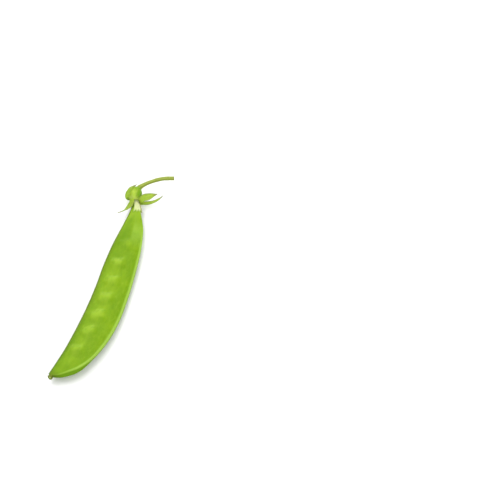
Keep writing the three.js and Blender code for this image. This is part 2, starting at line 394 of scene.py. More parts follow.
@dataclass(frozen=True)
class Glow:
    """Light that wanders under a surface before it leaves.

    Attributes:
        weight: Share of the light that does.
        reach: How far its red, green and blue wander, against each other.
        depth: What a reach of 1 stands for, in millimetres.
    """

    weight: float
    reach: Colour
    depth: float


class Recipe:
    """Material that is put together from nodes."""

    def __init__(self, name: str) -> None:
        """Starts an empty material."""
        self.material = bpy.data.materials.new(name)
        self.material.use_nodes = True
        self.tree = self.material.node_tree
        self.tree.nodes.clear()

    def node(
        self, kind: str, settings: dict[str, object], sockets: dict[str | int, object], output: str | int = 0
    ) -> Wire:
        """Adds a node.

        Args:
            kind: The node's type.
            settings: Its settings, which are set first.
            sockets: A value or a wire for each input socket, by name or number.
            output: The output socket that is given back.

        Returns:
            The wire from that output.
        """
        made = self.tree.nodes.new(kind)
        for name, value in settings.items():
            setattr(made, name, value)
        for name, value in sockets.items():
            if isinstance(value, Wire):
                self.tree.links.new(value.socket, made.inputs[name])
            else:
                made.inputs[name].default_value = value
        return Wire(self, made.outputs[output])

    def mark(self, name: str) -> Wire:
        """A mark of the piece's own mesh."""
        return self.node("ShaderNodeAttribute", {"attribute_name": name}, {}, "Fac")

    def place(self, stretch: Point = (1, 1, 1), turn: float = 0) -> Wire:
        """Object coordinates, stretched along the axes and turned round Z by an angle in radians."""
        sockets = {"Vector": self.node("ShaderNodeTexCoord", {}, {}, "Object"), "Scale": stretch}
        return self.node("ShaderNodeMapping", {}, sockets | {"Rotation": (0, 0, turn)})

    def noise(self, size: float, detail: float, place: Wire | None = None) -> Wire:
        """Soft noise.

        Args:
            size: About how large its blotches are, in millimetres.
            detail: Number of finer layers.
            place: Coordinates, where the plain ones of the object don't do.

        Returns:
            A number of about 0 to 1.
        """
        sockets = {"Vector": place or self.place(), "Scale": 1 / (size * MILLIMETRE), "Detail": detail}
        return self.node("ShaderNodeTexNoise", {}, sockets, "Fac")

    def net(self, size: float, width: float, place: Wire) -> Wire:
        """Net of veins between cells.

        Args:
            size: About how large a cell is, in millimetres.
            width: How far a vein reaches into its cells, as a share of size.
            place: Coordinates.

        Returns:
            A number from 0 inside a cell to 1 on a vein.
        """
        sockets = {"Vector": place, "Scale": 1 / (size * MILLIMETRE)}
        inside = self.node("ShaderNodeTexVoronoi", {"feature": "DISTANCE_TO_EDGE"}, sockets, "Distance")
        return 1 - inside.rising(0, width)

    def tint(self, under: Wire | Colour, over: Colour, share: Wire | float, blend: Blend) -> Wire:
        """Lays a colour over another.

        Args:
            under: Colour below, as a wire or linear red, green and blue.
            over: Colour on top.
            share: How much of the top colour is laid on, 0 to 1.
            blend: How it is laid on.

        Returns:
            The mixed colour.
        """
        settings = {"data_type": "RGBA", "blend_type": blend.value, "clamp_factor": True}
        below = under if isinstance(under, Wire) else (*under, 1)
        return self.node("ShaderNodeMix", settings, {0: share, 6: below, 7: (*over, 1)}, 2)

    def layered(self, ground: Colour, *layers: tuple[Colour, Wire] | tuple[Colour, Wire, Blend]) -> Wire:
        """Lays colours over a ground, one after another.

        Args:
            ground: Colour below all layers.
            layers: For each layer its colour, its share and, unless it covers, its blend.

        Returns:
            The mixed colour.
        """
        colour = ground
        for over, share, *blend in layers:
            colour = self.tint(colour, over, share, *(blend or [Blend.COVER]))
        return colour

    def relief(self, height: Wire, depth: float) -> Wire:
        """Normal of a fine relief, whose height of 0 to 1 stands for depth millimetres."""
        return self.node("ShaderNodeBump", {}, {"Height": height, "Distance": depth * MILLIMETRE})

    def finished(
        self, colour: Wire, roughness: Wire | float, gloss: float, normal: Wire | None, glow: Glow | None
    ) -> bpy.types.Material:
        """Ends the recipe in a Principled shader.

        Args:
            colour: Base colour.
            roughness: Roughness.
            gloss: Specular level.
            normal: Normal of its relief, where it has one.
            glow: Light under its surface, where it has any.

        Returns:
            The material.
        """
        sockets = {"Base Color": colour, "Roughness": roughness, "Specular IOR Level": gloss}
        if normal:
            sockets["Normal"] = normal
        if glow:
            sockets["Subsurface Weight"] = glow.weight
            sockets["Subsurface Radius"] = glow.reach
            sockets["Subsurface Scale"] = glow.depth * MILLIMETRE
        shader = self.node("ShaderNodeBsdfPrincipled", {}, sockets, "BSDF")
        end = self.tree.nodes.new("ShaderNodeOutputMaterial")
        self.tree.links.new(shader.socket, end.inputs["Surface"])
        return self.material


@dataclass(frozen=True)
class PodFinish:
    """Waxy satin skin of the pod: fresh green, with painted highlights over the peas and along the arched
    seam's cord.

    Attributes:
        fresh: Green of most of the skin.
        deep: Darker green of its large blotches and of the beak, and painted shade on its arched half, its
            straight side and below its cord.
        pale: Light green of the neck, mottles and veins, painted highlights over the peas and painted light
            on the straight seam's half.
        cord: Green of the arched seam's cord with its painted highlight, also a painted highlight on the
            shoulder near the neck.
        olive: Brownish green of the straight seam and of both ends.
        gloss: Specular level.
        glow: Light under the skin.
        depth: Height of the fine relief.
    """

    fresh: Colour = (0.189, 0.335, 0.003)
    deep: Colour = (0.117, 0.247, 0.002)
    pale: Colour = (0.293, 0.455, 0.027)
    cord: Colour = (0.293, 0.479, 0.056)
    olive: Colour = (0.067, 0.084, 0.007)
    gloss: float = 0.1
    glow: Glow = Glow(0.12, (0.5, 1.0, 0.15), 1.2)
    depth: float = 0.05

    def material(self) -> bpy.types.Material:
        """Makes the material: shades along the pod and across it, with painted light, shade and highlights,
        then its veins and specks, then its seams.

        Returns:
            The material.
        """
        recipe = Recipe("pod_skin")
        along = recipe.mark("along")
        cord = recipe.mark("cord")
        hem = recipe.mark("hem")
        # Painted light on the straight seam's half, painted shade on the arched half.
        bed = recipe.mark("bed")
        bank = recipe.mark("bank")
        arched_half = 1 - bed
        blotch = recipe.noise(9, 2).rising(0.35, 0.65)
        mottle = recipe.noise(1.6, 5, recipe.place((0.6, 1, 1)))
        veins = recipe.net(2.6, 0.16, recipe.place((0.55, 1.25, 1), 0.5))
        veinlets = recipe.net(1.0, 0.2, recipe.place((0.8, 1.2, 1), -0.4))
        specks = recipe.noise(0.22, 2).rising(0.62, 0.72)
        # Painted shade along the straight seam's side, from a quarter of the way along and most towards the
        # beak.
        far_bank = along.rising(0.26, 0.3) * 0.35 + along.rising(0.6, 0.88) * 0.55
        cord_cover = 0.9 - along.rising(0.86, 0.98) * 0.6

        colour = recipe.layered(
            self.fresh,
            (self.deep, blotch * 0.5),
            # painted light on the straight seam's half
            (self.pale, bed * along.between(0.3, 0.45, 0.8, 1.0) * 0.2),
            # painted shade on the arched half
            (self.deep, arched_half * along.rising(0.25, 0.35) * 0.14),
            # painted shade along the straight seam's side
            (self.deep, bank * far_bank),
            (self.pale, bank * along.between(0.1, 0.13, 0.22, 0.28) * 0.45),
            # painted highlight on the arched half's shoulder near the neck
            (self.cord, arched_half * along.between(0.12, 0.2, 0.2, 0.3) * 0.5),
            (self.pale, along.rising(0.16, 0.11) * 0.5),
            # painted highlight over the peas
            (self.pale, recipe.mark("pale") * (mottle.rising(0.3, 0.6) * 0.35 + 0.25)),
            (self.pale, mottle.rising(0.5, 0.75) * 0.22),
            (self.deep, mottle.rising(0.5, 0.25) * 0.35),
            (self.pale, veins * 0.08 + veinlets * 0.05),
            (self.pale, specks * 0.12),
            (self.deep, recipe.mark("shade") * 0.8),
            (self.deep, along.rising(0.85, 0.96) * 0.4),
            # the arched seam's cord with its painted highlight
            (self.cord, cord.rising(0.1, 0.9) * cord_cover),
            # painted shade in the band under the arched seam's cord, strongest towards the beak
            (self.deep, recipe.mark("outer") * (0.15 + along.rising(0.78, 0.92) * 0.75)),
            (self.olive, hem * (0.75 - along.rising(0.1, 0.2) * 0.35)),
            (self.olive, hem.rising(0.85, 1.0) * 0.35),
            (self.olive, along.rising(0.95, 0.995) * 0.45),
        )
        roughness = 0.42 + mottle * 0.16 - cord * 0.06
        relief = recipe.relief(veins * 0.35 + veinlets * 0.25 + mottle * 0.5, self.depth)
        return recipe.finished(colour, roughness, self.gloss, relief, self.glow)


@dataclass(frozen=True)
class LeafFinish:
    """Matt leaf of the calyx: yellow green with lengthwise veins and dry tips, with painted light and shade.

    Attributes:
        leaf: Green of the sepals.
        yellow: Yellow green of the cup.
        fresh: Fresher green in large blotches and low on the cup, and painted shade on one side of the cup.
        dry: Olive brown of the tips and of the margins' dry edge.
        edge: Pale green of the margins.
        painted_light_green: Light green of the painted light on the sepals and on the cup's front.
        gloss: Specular level.
        glow: Light under the surface.
        depth: Height of the fine relief.
    """

    leaf: Colour = (0.293, 0.385, 0.047)
    yellow: Colour = (0.237, 0.358, 0.011)
    fresh: Colour = (0.142, 0.335, 0.007)
    dry: Colour = (0.167, 0.159, 0.067)
    edge: Colour = (0.352, 0.435, 0.092)
    painted_light_green: Colour = (0.428, 0.595, 0.056)
    gloss: float = 0.15
    glow: Glow = Glow(0.1, (0.6, 1.0, 0.2), 0.8)
    depth: float = 0.04

    def material(self) -> bpy.types.Material:
        """Makes the material: shades of the cup and the sepals with their painted light and shade, then
        margins, veins and tips.

        Returns:
            The material.
        """
        recipe = Recipe("calyx_leaf")
        tip = recipe.mark("tip")
        margin = recipe.mark("margin")
        vein = recipe.mark("vein")
        bowl = recipe.mark("bowl")
        blotch = recipe.noise(3.2, 2).rising(0.42, 0.62)
        grain = recipe.noise(0.35, 4)
        colour = recipe.layered(
            self.yellow,
            (self.leaf, tip.rising(0.02, 0.5)),
            (self.fresh, blotch * 0.5),
            (self.fresh, bowl.rising(0.4, 0.1) * 0.35),
            # painted light on the cup's front and on the sepals
            (self.painted_light_green, recipe.mark("light") * 0.75),
            # painted shade on one side of the cup
            (self.fresh, recipe.mark("flank") * 0.75),
            (self.edge, bowl.rising(0.75, 1.0) * tip.rising(0.1, 0) * 0.45),
            (self.edge, margin.rising(0.6, 0.9) * 0.4),
            (self.dry, margin.rising(0.82, 1.0) * 0.7),
            (self.edge, vein * 0.3),
            (self.leaf, grain.rising(0.6, 0.3) * 0.22, Blend.DARKEN),
            (self.dry, tip.rising(0.66, 1.0) * 0.85),
        )
        relief = recipe.relief(vein * 0.6 + grain * 0.5, self.depth)
        return recipe.finished(colour, 0.55 + grain * 0.15, self.gloss, relief, self.glow)


@dataclass(frozen=True)
class StemFinish:
    """Ribbed matt stem: olive in the furrows, yellow green on the ribs, painted light on top and painted
    shade below, brown and dry on the cut.

    Attributes:
        rib: Green of the ribs, also laid on the stem's top as painted light.
        furrow: Olive of the furrows, which also stands as painted shade under the stem.
        cut: Brown of the cut end's rim.
        pith: Pale middle of the cut end.
        gloss: Specular level.
        glow: Light under the surface.
        depth: Height of the fine relief.
    """

    rib: Colour = (0.318, 0.385, 0.055)
    furrow: Colour = (0.151, 0.193, 0.019)
    cut: Colour = (0.201, 0.193, 0.092)
    pith: Colour = (0.469, 0.485, 0.234)
    gloss: float = 0.3
    glow: Glow = Glow(0.08, (0.6, 1.0, 0.2), 0.6)
    depth: float = 0.04

    def material(self) -> bpy.types.Material:
        """Makes the material: furrows and ribs with painted light on the top, then the cut end.

        Returns:
            The material.
        """
        recipe = Recipe("stem_rind")
        cut = recipe.mark("cut")
        grain = recipe.noise(0.3, 4)
        colour = recipe.layered(
            self.furrow,
            # painted light on the stem's top; below it the olive ground is painted shade
            (self.rib, recipe.mark("top").rising(0.25, 0.8)),
            (self.furrow, recipe.mark("rib").rising(0.7, 0) * 0.5),
            (self.furrow, recipe.noise(2.5, 3).rising(0.5, 0.75) * 0.6),
            (self.rib, grain.rising(0.5, 0.8) * 0.3),
            (self.cut, cut.rising(0, 0.5) * 0.9),
            (self.pith, cut.rising(0.8, 1.0) * 0.7),
        )
        relief = recipe.relief(recipe.mark("fibre") * 0.5 + grain * 0.5, self.depth)
        return recipe.finished(colour, 0.5 + grain * 0.2, self.gloss, relief, self.glow)


@dataclass(frozen=True)
class PaperFinish:
    """Dry papery tissue of the stamens' sheath, green at its torn hem, brown on one side and the filaments.

    Attributes:
        paper: Pale yellow of the tissue.
        green: Greenish tint of its folds.
        skin: Green at its hem, where it thins out on the pod.
        brown: Brown of its dry parts.
        gloss: Specular level.
        glow: Light under the surface.
        depth: Height of the fine relief.
    """

    paper: Colour = (0.636, 0.686, 0.335)
    green: Colour = (0.435, 0.552, 0.151)
    skin: Colour = (0.251, 0.419, 0.025)
    brown: Colour = (0.218, 0.167, 0.059)
    gloss: float = 0.25
    glow: Glow = Glow(0.15, (1.0, 0.9, 0.5), 0.6)
    depth: float = 0.05

    def material(self) -> bpy.types.Material:
        """Makes the material: paper with greenish folds, then its hem and its dry parts.

        Returns:
            The material.
        """
        recipe = Recipe("dry_paper")
        wrinkles = recipe.noise(0.5, 4, recipe.place((0.15, 1, 1), 0.25))
        colour = recipe.layered(
            self.paper,
            (self.green, wrinkles.rising(0.5, 0.8) * 0.6),
            (self.skin, recipe.mark("green") * 0.85),
            (self.brown, recipe.mark("dry").rising(0.1, 0.9) * 0.9),
        )
        relief = recipe.relief(wrinkles, self.depth)
        return recipe.finished(colour, 0.7 + wrinkles * 0.15, self.gloss, relief, self.glow)


@dataclass(frozen=True)
class StubFinish:
    """Dry olive stub of the style, with the pale tissue of its break.

    Attributes:
        bark: Olive of its side.
        scorch: Dark olive of its weathered spots.
        tissue: Pale tissue of the break.
        gloss: Specular level.
        depth: Height of the fine relief.
    """

    bark: Colour = (0.150, 0.200, 0.018)
    scorch: Colour = (0.065, 0.080, 0.008)
    tissue: Colour = (0.400, 0.480, 0.170)
    gloss: float = 0.1
    depth: float = 0.05

    def material(self) -> bpy.types.Material:
        """Makes the material.

        Returns:
            The material.
        """
        recipe = Recipe("style_stub")
        grain = recipe.noise(0.25, 4)
        colour = recipe.layered(
            self.bark,
            (self.scorch, grain.rising(0.45, 0.75)),
            (self.tissue, recipe.mark("break").rising(0.1, 1.0) * (grain * 0.6 + 0.5)),
        )
        relief = recipe.relief(grain, self.depth)
        return recipe.finished(colour, 0.65 + grain * 0.2, self.gloss, relief, None)


@dataclass(frozen=True)
class FloorFinish:
    """Smooth pale tabletop with very faint clouds.

    Attributes:
        paint: Its colour.
        cloud: Colour of the clouds.
        cloud_size: How large they are.
        roughness: Its roughness.
        gloss: Specular level.
    """

    paint: Colour = (0.90, 0.90, 0.90)
    cloud: Colour = (0.891, 0.891, 0.891)
    cloud_size: float = 300
    roughness: float = 0.8
    gloss: float = 0.1

    def material(self) -> bpy.types.Material:
        """Makes the material.

        Returns:
            The material.
        """
        recipe = Recipe("pale_table")
        shade = recipe.layered(self.paint, (self.cloud, recipe.noise(self.cloud_size, 1)))
        return recipe.finished(shade, self.roughness, self.gloss, None, None)


# ---------------------------------------------------------------------- pod


@dataclass(frozen=True)
class Pea:
    """Swelling over one pea.

    Attributes:
        x: Where it lies along the pod.
        size: Its height against the tallest.
    """

    x: float
    size: float


@dataclass(frozen=True)
class Spot:
    """Soft oval spot on the pod: a bell curve along X times one along Y.

    Attributes:
        x: Its middle along X.
        y: Its middle along Y.
        length: Its spread along X.
        width: Its spread along Y.
    """

    x: float
    y: float
    length: float
    width: float

    def at(self, place: Array) -> Array:
        """Strength from 0 to 1 at points."""
        return bell(place[..., 0] - self.x, self.length) * bell(place[..., 1] - self.y, self.width)


@dataclass(frozen=True)
class Pod:
    """Flat pod between its two seams.

    Attributes:
        straight_seam: Line of the straight seam, from the neck to the beak.
        arched_seam: Line of the arched seam.
        peas: Swellings, from the neck to the beak.
        pea_across: Share of the way from the straight seam to the arched one where the peas lie.
        pea_turn: Angle by which the steep side of a swelling turns from the neck to the straight seam.
        pea_length: Where a swelling starts, peaks and ends along the turned direction.
        pea_width: Spread of a swelling across that direction.
        pea_height: Height of the tallest swelling on the upper and the lower valve.
        pea_sheen: How far past its start a swelling's painted highlight is full, and past its peak gone.
        furrow: Depth of the furrow at the foot of the steep side as a share of the height, and its spread.
        unevenness: Ripple that shifts the swellings, along the turned direction.
        sideways: Share of it that shifts them across.
        fold: Shallow fold under the lower valve.
        fold_height: Its height.
        waves: Waves in the skin of both valves.
        shade: Darker place on the straight seam's side.
        half_neck: Half thickness in the neck.
        half_belly: Half thickness in the belly.
        half_beak: Half thickness in the beak.
        belly: Shares of the length between which the belly lies.
        filled: Shares between which the cords and the waves reach their full height.
        bluntness: Power of the section's sine, lower for blunter edges.
        cord_height: How far the arched and the straight seam's cords stand out.
        cord_spread: Spread of a cord in radians round the section.
        roll: Angles by which the arched seam rolls up onto the upper valve, each with the shares of the
            length between which it sets in.
        ends: Shares of the length over which the neck's end and the beak's end are rounded.
        rings: Sections along the pod between its rounded ends.
        cap_rings: Sections over each rounded end.
        sides: Points round a section.
        crowding: How strongly they crowd towards both seams.
    """

    straight_seam: Curve = Curve(
        (
            (-57.3, -9.5, 4.6), (-53.9, -9.1, 4.0), (-49.6, -8.1, 3.5), (-40.2, -8.1, 2.8),
            (-28.4, -8.3, 2.4), (-16.4, -7.7, 2.3), (-4.4, -6.4, 2.3), (7.6, -5.7, 2.3),
            (19.6, -5.6, 2.4), (30.0, -5.9, 2.6), (38.2, -6.6, 3.0), (43.9, -7.2, 3.4),
        )
    )  # fmt: skip
    arched_seam: Curve = Curve(
        (
            (-57.4, -7.5, 4.7), (-54.7, -7.1, 4.1), (-53.2, -6.5, 3.8), (-51.9, -4.9, 3.5),
            (-50.2, -3.7, 3.3), (-47.8, -2.4, 3.0), (-44.3, -0.35, 2.8), (-40.3, 1.7, 2.6),
            (-29.9, 4.9, 2.3), (-18.9, 7.15, 2.2), (-4.0, 9.4, 2.2), (9.0, 10.55, 2.4),
            (20.5, 10.0, 2.8), (30.5, 7.7, 3.4), (38.7, 4.3, 3.8), (43.4, -1.4, 3.95), (44.4, -5.1, 3.8),
        )
    )  # fmt: skip
    peas: tuple[Pea, ...] = (
        Pea(-38.6, 0.08), Pea(-29.4, 0.45), Pea(-18.8, 1), Pea(-9.0, 0.9), Pea(0, 1),
        Pea(9.8, 1), Pea(18.6, 0.9), Pea(28.4, 0.9), Pea(36.0, 0.2),
    )  # fmt: skip
    pea_across: float = 0.39
    pea_turn: float = 0.42
    pea_length: tuple[float, float, float] = (-3.0, 0.3, 5.6)
    pea_width: float = 3.1
    pea_height: tuple[float, float] = (0.95, 0.6)
    pea_sheen: tuple[float, float] = (1.4, 2.5)
    furrow: tuple[float, float] = (0.1, 0.8)
    unevenness: Ripple = Ripple(0.35, 5.5, 11)
    sideways: float = 0.6
    fold: Spot = Spot(6, 4.6, 11, 3)
    fold_height: float = 0.55
    waves: tuple[Ripple, ...] = (Ripple(0.07, 14, 3), Ripple(0.03, 5, 5))
    shade: Spot = Spot(-33, -5.2, 8, 2.8)
    half_neck: float = 1.1
    half_belly: float = 2.15
    half_beak: float = 1.0
    belly: tuple[float, float] = (0.3, 0.72)
    filled: tuple[float, float] = (0.06, 0.3)
    bluntness: float = 0.8
    cord_height: tuple[float, float] = (0.42, 0.25)
    cord_spread: float = 0.17
    roll: tuple[tuple[float, float, float], ...] = ((0.3, 0.03, 0.15), (0.6, 0.8, 0.95))
    ends: tuple[float, float] = (0.006, 0.009)
    rings: int = 470
    cap_rings: int = 11
    sides: int = 176
    crowding: float = 0.25

    def swelling(self, place: Array, upper: Array) -> tuple[Array, Array]:
        """Height of the pea swellings over places on the pod, and where a painted highlight lies on them.

        It is the sum of one swelling for each pea. Along the turned direction that is a smooth step up
        over a short steep side and a smooth step down over a long one, across it a bell with a flat top,
        and a ripple shifts both a little. A narrow furrow runs along the foot of the steep side. Under
        the lower valve a long shallow fold is added.

        Args:
            place: Points on the flat section of the pod.
            upper: Whether each point belongs to the upper valve.

        Returns:
            Heights in millimetres, and the painted highlight from 0 to 1, which lies on the steep side and
            the top.
        """
        first, last = self.straight_seam.points[0][0], self.straight_seam.points[-1][0]
        start, peak, end = self.pea_length
        pale_start, pale_end = start + self.pea_sheen[0], peak + self.pea_sheen[1]
        cosine, sine = math.cos(self.pea_turn), math.sin(self.pea_turn)
        uneven = self.unevenness.at(place * (1, 1, 0))
        total, pale = np.zeros((2, *place.shape[:-1]))
        for pea in self.peas:
            along = np.array((pea.x - first) / (last - first))
            row = mix(self.straight_seam.at(along), self.arched_seam.at(along), self.pea_across)
            past, beside = place[..., 0] - pea.x, place[..., 1] - row[1]
            forward = past * cosine + beside * sine + uneven
            across = beside * cosine - past * sine - self.sideways * uneven
            breadth = pea.size * np.exp(-((across / self.pea_width) ** 4))
            body = ease(forward, start, peak) * (1 - ease(forward, peak, end))
            furrow = self.furrow[0] * bell(forward - start, self.furrow[1])
            total += (body - furrow) * breadth
            # Painted highlight on each swelling's steep side and top.
            pale += ease(forward, start, pale_start) * (1 - ease(forward, peak, pale_end)) * breadth
        top, under = (height * total for height in self.pea_height)
        return np.where(upper, top, under + self.fold_height * self.fold.at(place)), pale

    def surface(
        self, along: Array, angle: Array, lift: Array | float = 0.0, scale: Array | float = 1.0
    ) -> tuple[Array, dict[str, Array]]:
        """Points of the pod's skin, with the marks of its finish.

        A section stands square to the line between both seams. Round it, across runs with the cosine of
        the angle and rise with a power of its sine, the cords stand out square to the edge as bells of
        the angle, and the peas swell with the sine.

        Args:
            along: Shares of the pod's length, from 0 at the neck to 1 at the beak.
            angle: Angles from the straight seam, 0, over the upper valve to the arched seam, pi.
            lift: Distance out from the skin.
            scale: Size of the section, which shrinks at the rounded ends.

        Returns:
            The points, and the marks as arrays that spread to the points' shape.
        """
        start, end = self.straight_seam.at(along), self.arched_seam.at(along)
        width = np.linalg.norm(end - start, axis=-1)
        chord = unit(end - start)
        up = squared(UPWARDS, chord)
        half = mix(self.half_neck, self.half_belly, ease(along, 0, self.belly[0]))
        half = mix(half, self.half_beak, ease(along, self.belly[1], 1))
        arch, face = np.abs(np.sin(angle)), np.sign(np.sin(angle))

        filled = ease(along, *self.filled)
        roll = sum(turn * ease(along, start_share, end_share) for turn, start_share, end_share in self.roll)
        past_arched = angle - math.pi + roll
        to_arched = np.abs(past_arched)
        to_straight = np.minimum(angle, FULL_TURN - angle)
        stand = self.cord_height[0] * filled * bell(to_arched, self.cord_spread)
        stand = stand + self.cord_height[1] * filled * bell(to_straight, self.cord_spread)
        edge = (-np.cos(angle) / width, np.sin(angle) / (2 * half))
        square = unit(np.stack(np.broadcast_arrays(*edge), axis=-1))

        across = -(width / 2 + lift) * np.cos(angle) + stand * square[..., 0]
        point = start + chord * (width / 2 + across * scale)[..., None]
        swell, pale = self.swelling(point, face > 0)
        waves = sum(wave.at(point) for wave in self.waves) * arch * filled
        rise = face * ((half + lift) * arch**self.bluntness + swell * arch + waves)
        rise = rise + stand * square[..., 1]
        point = point + up * (rise * scale)[..., None]
        point[..., 2] = np.maximum(point[..., 2], 0)
        marks = {
            "along": along,
            # the arched seam's cord, where the finish paints its highlight
            "cord": filled * bell(to_arched, mix(0.22, 0.15, ease(along, 0.78, 0.92))),
            "hem": 1 - ease(to_straight, 0.2, 0.9),
            "bank": 1 - ease(to_straight, 0.6, 1.35),
            # band under the arched seam's cord, which the finish darkens as painted shade
            "outer": ease(past_arched, 0.1, 0.22) * (1 - ease(past_arched, 0.5, 1.1)),
            # painted highlight over the peas
            "pale": pale * arch,
            # the straight seam's half, which the finish paints as lit; the rest it paints as shaded
            "bed": 1 - ease(-np.cos(angle), 0, 0.2),
            "shade": self.shade.at(point),
        }
        return point, marks

    def skin(self) -> Skin:
        """Closed skin of the pod, with its angles crowded towards both seams and its ends rounded.

        Near each end the section shrinks as the ordinate of a quarter circle.

        Returns:
            The skin.
        """
        even = (np.arange(self.sides) + 0.5) / self.sides * FULL_TURN
        angle = even - self.crowding * np.sin(2 * even)
        cap = np.sin(np.linspace(0.06, 1, self.cap_rings + 1)[:-1] * math.pi / 2)
        short = 1 - np.sqrt(1 - cap**2)
        neck, beak = self.ends
        middle = np.linspace(neck, 1 - beak, self.rings)
        along = np.concatenate([neck * short, middle, (1 - beak * short)[::-1]])
        scale = np.concatenate([cap, np.ones(self.rings), cap[::-1]])
        return Skin.over(*self.surface(along[:, None], angle[None, :], 0, scale[:, None]))

    def build(self, finish: PodFinish) -> bpy.types.Object:
        """Makes the pod's piece in its finish."""
        return self.skin().piece("pod_skin", "pod", finish.material())


# ---------------------------------------------------------------------- calyx


@dataclass(frozen=True)
class Sepal:
    """Lobe of the calyx: it leaves the cup's wall and follows its spine as a thin blade.

    Attributes:
        turn: Angle round the cup where it leaves, in degrees.
        spine: Points of its middle beyond the cup's rim.
        sides: Directions across the blade just beyond the rim and at its tip.
        width: Full width.
        wrap: Angle in radians that half of its width curls through.
        peak: Share of its free length where it is widest.
        thread: Share of its free length from which it is a dry thread.
        thin: Width of the thread or the tip as a share of the full width.
        wave: Height of the waves along its margins.
        early: How far below the cup's rim it leaves the wall.
        tone: How much painted light lifts its green, from 0 to 1.
    """

    turn: float
    spine: tuple[Point, ...]
    sides: tuple[Point, Point]
    width: float
    wrap: float
    peak: float
    thread: float = 1.0
    thin: float = 0.12
    wave: float = 0.1
    early: float = 0.0
    tone: float = 0.0


@dataclass(frozen=True)
class Calyx:
    """Bell-shaped cup with five sepals.

    Attributes:
        root: Point where the cup sits on the stem.
        mouth: Middle of its open mouth.
        outside: Distances from the root along the cup's axis, with the cup's radius there.
        wall: Thickness of the cup's wall and of the blades' middles.
        foot_wall: Thickness of the wall near the stem.
        ribs: Number of low ribs up the wall.
        rib_height: Their height as a share of the radius.
        rim: Height of the rim between two sepals.
        waver: How much it wavers.
        lip: How much higher it is between the two upper sepals, with the turn and the spread of that place.
        flank: Turn and spread of the painted shade in fresh green on one side of the cup.
        light: Turn of the painted light on the cup's front, low on the cup and at its rim, and its spread.
        lobe_root: Width of a lobe where it leaves the wall, and the wall's radius there.
        lobe_foot: Heights on the wall where a lobe's line starts, with how far out from the wall it runs.
        sepals: The sepals in turn.
        midrib: Depth of the fold along a blade's middle, and its spread across.
        cup_rings: Number of rings up the outside, over the rim and down the inside.
        cup_sides: Points round a ring.
        blade_grid: Number of points along a blade and across it.
    """

    root: Point = (-60.0, -9.1, 5.5)
    mouth: Point = (-53.0, -8.3, 3.9)
    outside: tuple[tuple[float, float], ...] = (
        (-0.9, 0.5), (-0.4, 1.25), (0.4, 2.0), (1.7, 2.65), (3.6, 2.9), (5.4, 2.78), (6.9, 2.8), (7.3, 2.85),
    )  # fmt: skip
    wall: float = 0.34
    foot_wall: float = 1.2
    ribs: int = 10
    rib_height: float = 0.018
    rim: float = 6.35
    waver: float = 0.12
    lip: tuple[float, float, float] = (0.5, 1.85, 0.4)
    flank: tuple[float, float] = (2.7, 0.6)
    light: tuple[float, float, float] = (1.4, 1.75, 0.55)
    lobe_root: tuple[float, float] = (2.9, 2.78)
    lobe_foot: tuple[tuple[float, float], ...] = ((4.2, -0.3), (5.2, -0.17), (6.2, -0.12))
    sepals: tuple[Sepal, ...] = (
        Sepal(
            -9.7,
            ((-53.9, -11.2, 4.8), (-54.8, -11.9, 4.9), (-56.0, -12.2, 5.2), (-57.2, -12.0, 5.7),
             (-58.5, -11.7, 6.1), (-59.8, -10.8, 6.5), (-61.2, -9.7, 6.9)),
            ((-0.25, 0.85, 0.45), (0.31, 0.85, -0.4)), 2.8, 0.4, 0.3, early=1.2, tone=0.3,
        ),
        Sepal(
            145.4,
            ((-54.2, -5.0, 5.7), (-55.7, -4.0, 5.8), (-56.6, -2.5, 6.0), (-57.7, -0.7, 6.4),
             (-58.8, 1.7, 7.2)),
            ((0.4, 0.6, -0.65), (0.77, 0.4, -0.45)), 3.5, 0.45, 0.45, tone=0.8,
        ),
        Sepal(
            -146.7,
            ((-54.4, -5.2, 2.9), (-55.0, -3.1, 3.1), (-55.8, -0.9, 3.4), (-57.1, 1.4, 4.2),
             (-58.6, 3.0, 5.0), (-60.1, 4.1, 5.8)),
            ((0.2, -0.2, -0.95), (0.4, 0.2, -0.9)), 2.3, 0.5, 0.25, tone=1.0,
        ),
        Sepal(
            66.6,
            ((-52.0, -8.7, 6.1), (-50.6, -8.7, 5.7), (-49.4, -9.0, 5.2), (-48.2, -9.5, 4.8),
             (-46.7, -10.5, 4.4), (-44.3, -12.8, 4.3)),
            ((0, 0.9, 0.4), (0.5, 0.75, -0.1)), 3.0, 0.5, 0.35, 0.66, 0.22,
        ),
        Sepal(
            -92.2,
            ((-53.0, -7.9, 1.1), (-51.0, -6.6, 0.9), (-48.9, -4.9, 0.8), (-47.2, -3.1, 0.7)),
            ((0, -0.95, -0.2), (0.3, -0.9, 0)), 2.4, 0.3, 0.3, wave=0.05,
        ),
    )  # fmt: skip
    midrib: tuple[float, float] = (0.18, 0.28)
    cup_rings: tuple[int, int, int] = (46, 4, 26)
    cup_sides: int = 120
    blade_grid: tuple[int, int] = (96, 27)

    def axes(self) -> tuple[Array, Array, Array]:
        """Works out the cup's own directions.

        Returns:
            Unit vectors along its axis, to its -Y side and up, each square to the others.
        """
        axis = unit(np.array(self.mouth) - np.array(self.root))
        up = squared(UPWARDS, axis)
        return axis, np.cross(axis, up), up

    def cup_point(self, height: Array, turn: Array, lift: Array | float = 0.0) -> Array:
        """Points of the cup's outside.

        The radius is read off the profile, and low ribs run from the root to the rim, with the cosine of
        their number times the turn.

        Args:
            height: Distances from the root along the axis.
            turn: Angles in radians round the axis, from the -Y side over the top.
            lift: Distance out from the outside.

        Returns:
            The points.
        """
        axis, side, up = self.axes()
        profile = Curve(tuple((h, r, 0.0) for h, r in self.outside)).at(np.linspace(0, 1, 200))
        radius = np.interp(height, profile[:, 0], profile[:, 1])
        radius = radius * (1 + self.rib_height * np.cos(self.ribs * turn) * ease(height, 0.5, 3)) + lift
        return np.array(self.root) + height[..., None] * axis + radius[..., None] * spokes(turn, side, up)

